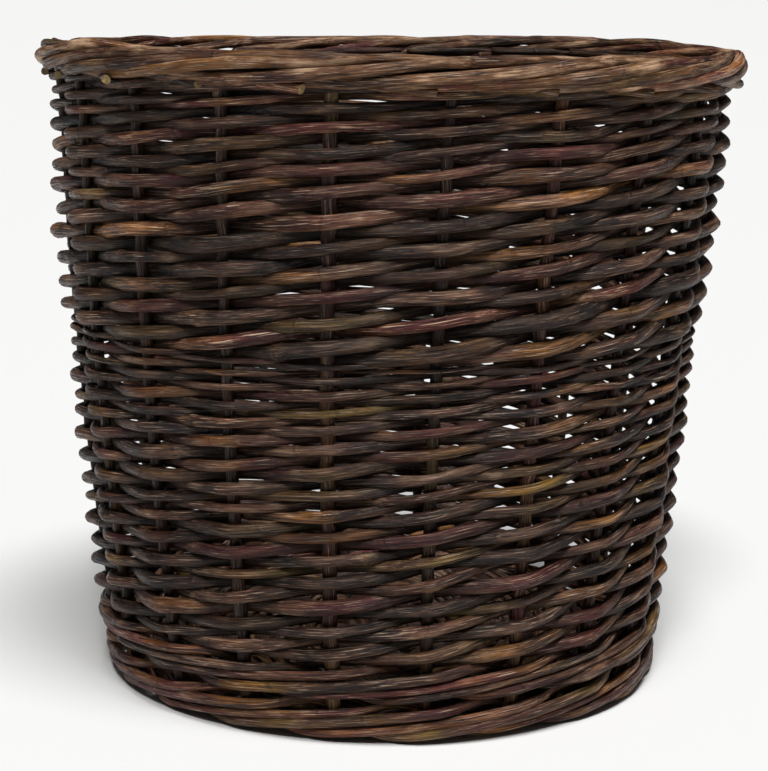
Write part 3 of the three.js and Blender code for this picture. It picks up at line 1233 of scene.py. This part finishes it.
@dataclass
class BaseSticks(Weaving):
    """Cross of thick sticks: five pierced and five threaded through them, fanned out."""

    each_way: int = 5
    pitch: float = 8.6 * MM
    cross_half: float = 26 * MM
    end_radius: float = 167 * MM
    thickness: float = 8.2 * MM
    pierced_swell: float = 0.12
    threaded_thinning: float = 0.35
    lightness: float = 0.45
    ochre_share: float = 0.4

    def build(self) -> None:
        """Makes the ten sticks."""
        for way, word in enumerate(("threaded", "pierced")):
            for i in range(self.each_way):
                self.stick(way, word, i)

    def stick(self, way: int, word: str, number: int) -> None:
        """Makes one stick.

        Args:
            way: 0 along X, 1 along Y.
            word: the kind of stick.
            number: its number, from nought.
        """
        place = number - (self.each_way - 1) / 2
        fan = place * self.form.step
        offset = place * self.pitch
        inner = self.cross_half
        end = self.end_radius
        x = [-end * math.cos(fan), -inner * 1.6, -inner, -inner * 0.5, 0, inner * 0.5, inner, inner * 1.6]
        x.append(end * math.cos(fan))
        spread = offset + math.tan(fan) * inner * 0.6
        y = [end * math.sin(fan), spread, offset, offset, offset, offset, offset, spread]
        y.append(end * math.sin(fan))
        angle = way * math.pi / 2 + self.form.base_turn + self.form.first_stake
        px = np.array(x) * math.cos(angle) - np.array(y) * math.sin(angle)
        py = np.array(x) * math.sin(angle) + np.array(y) * math.cos(angle)
        knots = np.stack([px, py, np.full(len(x), self.form.base_level)], axis=1)
        path, along = StakesAndBorder.resampled(knots, 5 * MM)
        middle = np.abs(along / along[-1] - 0.5) * along[-1]
        thick = np.full(len(path), self.thickness)
        in_cross = np.clip(1 - middle / (inner * 1.1), 0, 1)
        change = self.pierced_swell if way else -self.threaded_thinning
        thick *= 1 + change * np.minimum(in_cross * 3, 1)
        tone = RodTone.drawn(self.rng, self.lightness, self.ochre_share)
        rod = Rod(f"base_{word}_rod_{number + 1}", path, thick / 2, tone, self.rng)
        self.keep(rod, (f"base_stick_{word}_{number + 1}",))


@dataclass
class BaseWeave(Weaving):
    """Two rods that twist round each other and the sticks, winding out to the edge."""

    start: float = 33 * MM
    end: float = 166.5 * MM
    rod: float = 4.8 * MM
    opened: float = 58 * MM
    bundles: int = 4
    packed: float = 0.98
    height_over_bundles: float = 7.2 * MM
    height_over_sticks: float = 6.6 * MM
    flat_over_bundles: float = 0.35
    flat_over_sticks: float = 0.8
    uneven_girth: float = 0.05
    lightness: float = 0.45
    ochre_share: float = 0.3

    def build(self) -> None:
        """Winds the two rods."""
        for strand, letter in enumerate("ab"):
            self.wind(strand, letter)

    def wind(self, strand: int, letter: str) -> None:
        """Winds one rod.

        Args:
            strand: 0 or 1, half a twist apart.
            letter: last letter of its name.
        """
        pitch = 2 * self.rod * self.packed
        turns = (self.end - self.start) / pitch
        grouped = (self.opened - self.start) / pitch
        count = int(turns * self.form.stake_count * 5)
        around = np.linspace(0, turns, count)
        in_bundles = around < grouped
        bundles = np.minimum(around, grouped) * self.bundles
        singles = np.maximum(around - grouped, 0) * self.form.stake_count
        sticks = np.where(in_bundles, bundles, round(grouped * self.bundles) + singles)
        phase = math.pi * (sticks + strand)
        radius = self.start + pitch * around
        height = np.where(in_bundles, self.height_over_bundles, self.height_over_sticks)
        flat = np.where(in_bundles, self.flat_over_bundles, self.flat_over_sticks)
        over = np.cos(phase)
        over = np.sign(over) * np.abs(over) ** flat
        z = self.form.base_level + height * over
        r = radius + self.rod / 2 * np.sin(phase)
        angle = 2 * math.pi * around + self.form.base_turn + self.form.first_stake
        path = np.stack([r * np.cos(angle), r * np.sin(angle), z], axis=1)
        thick = self.rod / 2 * (1 + self.uneven_girth * wander(self.rng, count, 40))
        tone = RodTone.drawn(self.rng, self.lightness, self.ochre_share)
        rod = Rod(f"base_winding_{letter}", path, thick, tone, self.rng, sides=8)
        self.keep(rod, (f"base_weaver_{letter}",))


@dataclass(frozen=True)
class Light:
    """Even light from one direction, seen from the basket as a disc so many degrees wide."""

    name: str
    towards: tuple[float, float, float]
    width: float
    power: float


@dataclass
class Studio:
    """Pale floor, soft lights and the camera."""

    floor_half: float = 400.0
    floor_colour: Colour = (0.64, 0.64, 0.635)
    floor_roughness: float = 0.9
    sky: float = 0.07
    key: Light = Light("key", (-0.1, -0.95, 1.3), 12, 2.3)
    top: Light = Light("top", (0.12, -0.3, 1.0), 20, 2.8)
    camera_distance: float = 1369.6 * MM
    camera_height: float = 440.4 * MM
    camera_aside: float = -5.6 * MM
    pitch_down: float = 10.67
    roll: float = 1.1
    lens: float = 99.3
    sensor: float = 36.0
    nearest: float = 0.05
    farthest: float = 2000.0

    def floor(self) -> None:
        """Makes the floor, wide enough to fill the view."""
        size = self.floor_half
        mesh = bpy.data.meshes.new("floor")
        corners = [(-size, -size, 0), (size, -size, 0), (size, size, 0), (-size, size, 0)]
        mesh.from_pydata(corners, [], [(0, 1, 2, 3)])
        made = bpy.data.objects.new("floor", mesh)
        bpy.context.scene.collection.objects.link(made)
        material = bpy.data.materials.new("pale_floor")
        Nodes(material).shown(Base_Color=self.floor_colour, Roughness=self.floor_roughness)
        mesh.materials.append(material)
        made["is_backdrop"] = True

    @staticmethod
    def hang(light: Light) -> None:
        """Hangs a light.

        Args:
            light: the light.
        """
        data = bpy.data.lights.new(light.name, "SUN")
        data.angle = math.radians(light.width)
        data.energy = light.power
        made = bpy.data.objects.new(light.name, data)
        made.rotation_euler = Vector(light.towards).to_track_quat("Z", "Y").to_euler()
        bpy.context.scene.collection.objects.link(made)

    def camera(self) -> None:
        """Sets up the camera and makes it the scene's own."""
        data = bpy.data.cameras.new("camera")
        data.lens = self.lens
        data.sensor_width = self.sensor
        data.clip_start = self.nearest
        data.clip_end = self.farthest
        made = bpy.data.objects.new("camera", data)
        made.location = (self.camera_aside, -self.camera_distance, self.camera_height)
        pitch = math.radians(90 - self.pitch_down)
        made.rotation_euler = (pitch, math.radians(-self.roll), 0)
        bpy.context.scene.collection.objects.link(made)
        bpy.context.scene.camera = made

    def build(self) -> None:
        """Sets the floor, the lights and the camera."""
        self.floor()
        scene = bpy.context.scene
        scene.view_settings.view_transform = "Standard"
        world = bpy.data.worlds.new("studio")
        scene.world = world
        world.use_nodes = True
        background = world.node_tree.nodes["Background"]
        background.inputs["Color"].default_value = (1.0, 1.0, 1.0, 1.0)
        background.inputs["Strength"].default_value = self.sky
        for light in (self.key, self.top):
            self.hang(light)
        self.camera()


def main() -> None:
    """Builds the basket and the studio around the frame."""
    logging.basicConfig(level=logging.INFO, format="%(message)s")
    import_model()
    form = BasketForm.from_frame()
    LOG.info("BasketForm: rim radius %.4f, height %.4f", form.rim_radius, form.height)
    cut = CutFinish().material()
    join = form.weave_join + JOIN_ABOVE_FRAME
    pieces: list[Weaving] = [
        BaseSticks(form, BarkFinish("base_stick_bark"), cut, seed=11),
        BaseWeave(form, BarkFinish("base_weave_bark"), cut, seed=12),
        StakesAndBorder(form, BarkFinish("stake_bark"), cut, seed=13),
        Upsett(form, BarkFinish("upsett_bark"), cut, seed=14),
        RandSet(
            form,
            BarkFinish("lower_weave_bark"),
            cut,
            seed=15,
            label="lower",
            low=form.upsett_top,
            high=join,
            crossings=30,
            packed=1.01,
            fullness=2.6,
            butt=7.0 * MM,
            tip=3.0 * MM,
            shade=1.1,
            cad_rounds=13,
        ),
        RandSet(
            form,
            BarkFinish("upper_weave_bark"),
            cut,
            seed=16,
            label="upper",
            low=join,
            high=form.weave_top + WEAVE_ABOVE_FRAME,
            crossings=26,
            packed=1.13,
            fullness=1.3,
            butt=8.4 * MM,
            tip=4.7 * MM,
            shade=0.93,
            tucked=5 * MM,
            cad_rounds=11,
        ),
    ]
    for piece in pieces:
        piece.build()
        LOG.info("%s: %d rods", type(piece).__name__, len(piece.made))
    Studio().build()


if __name__ == "__main__":
    main()
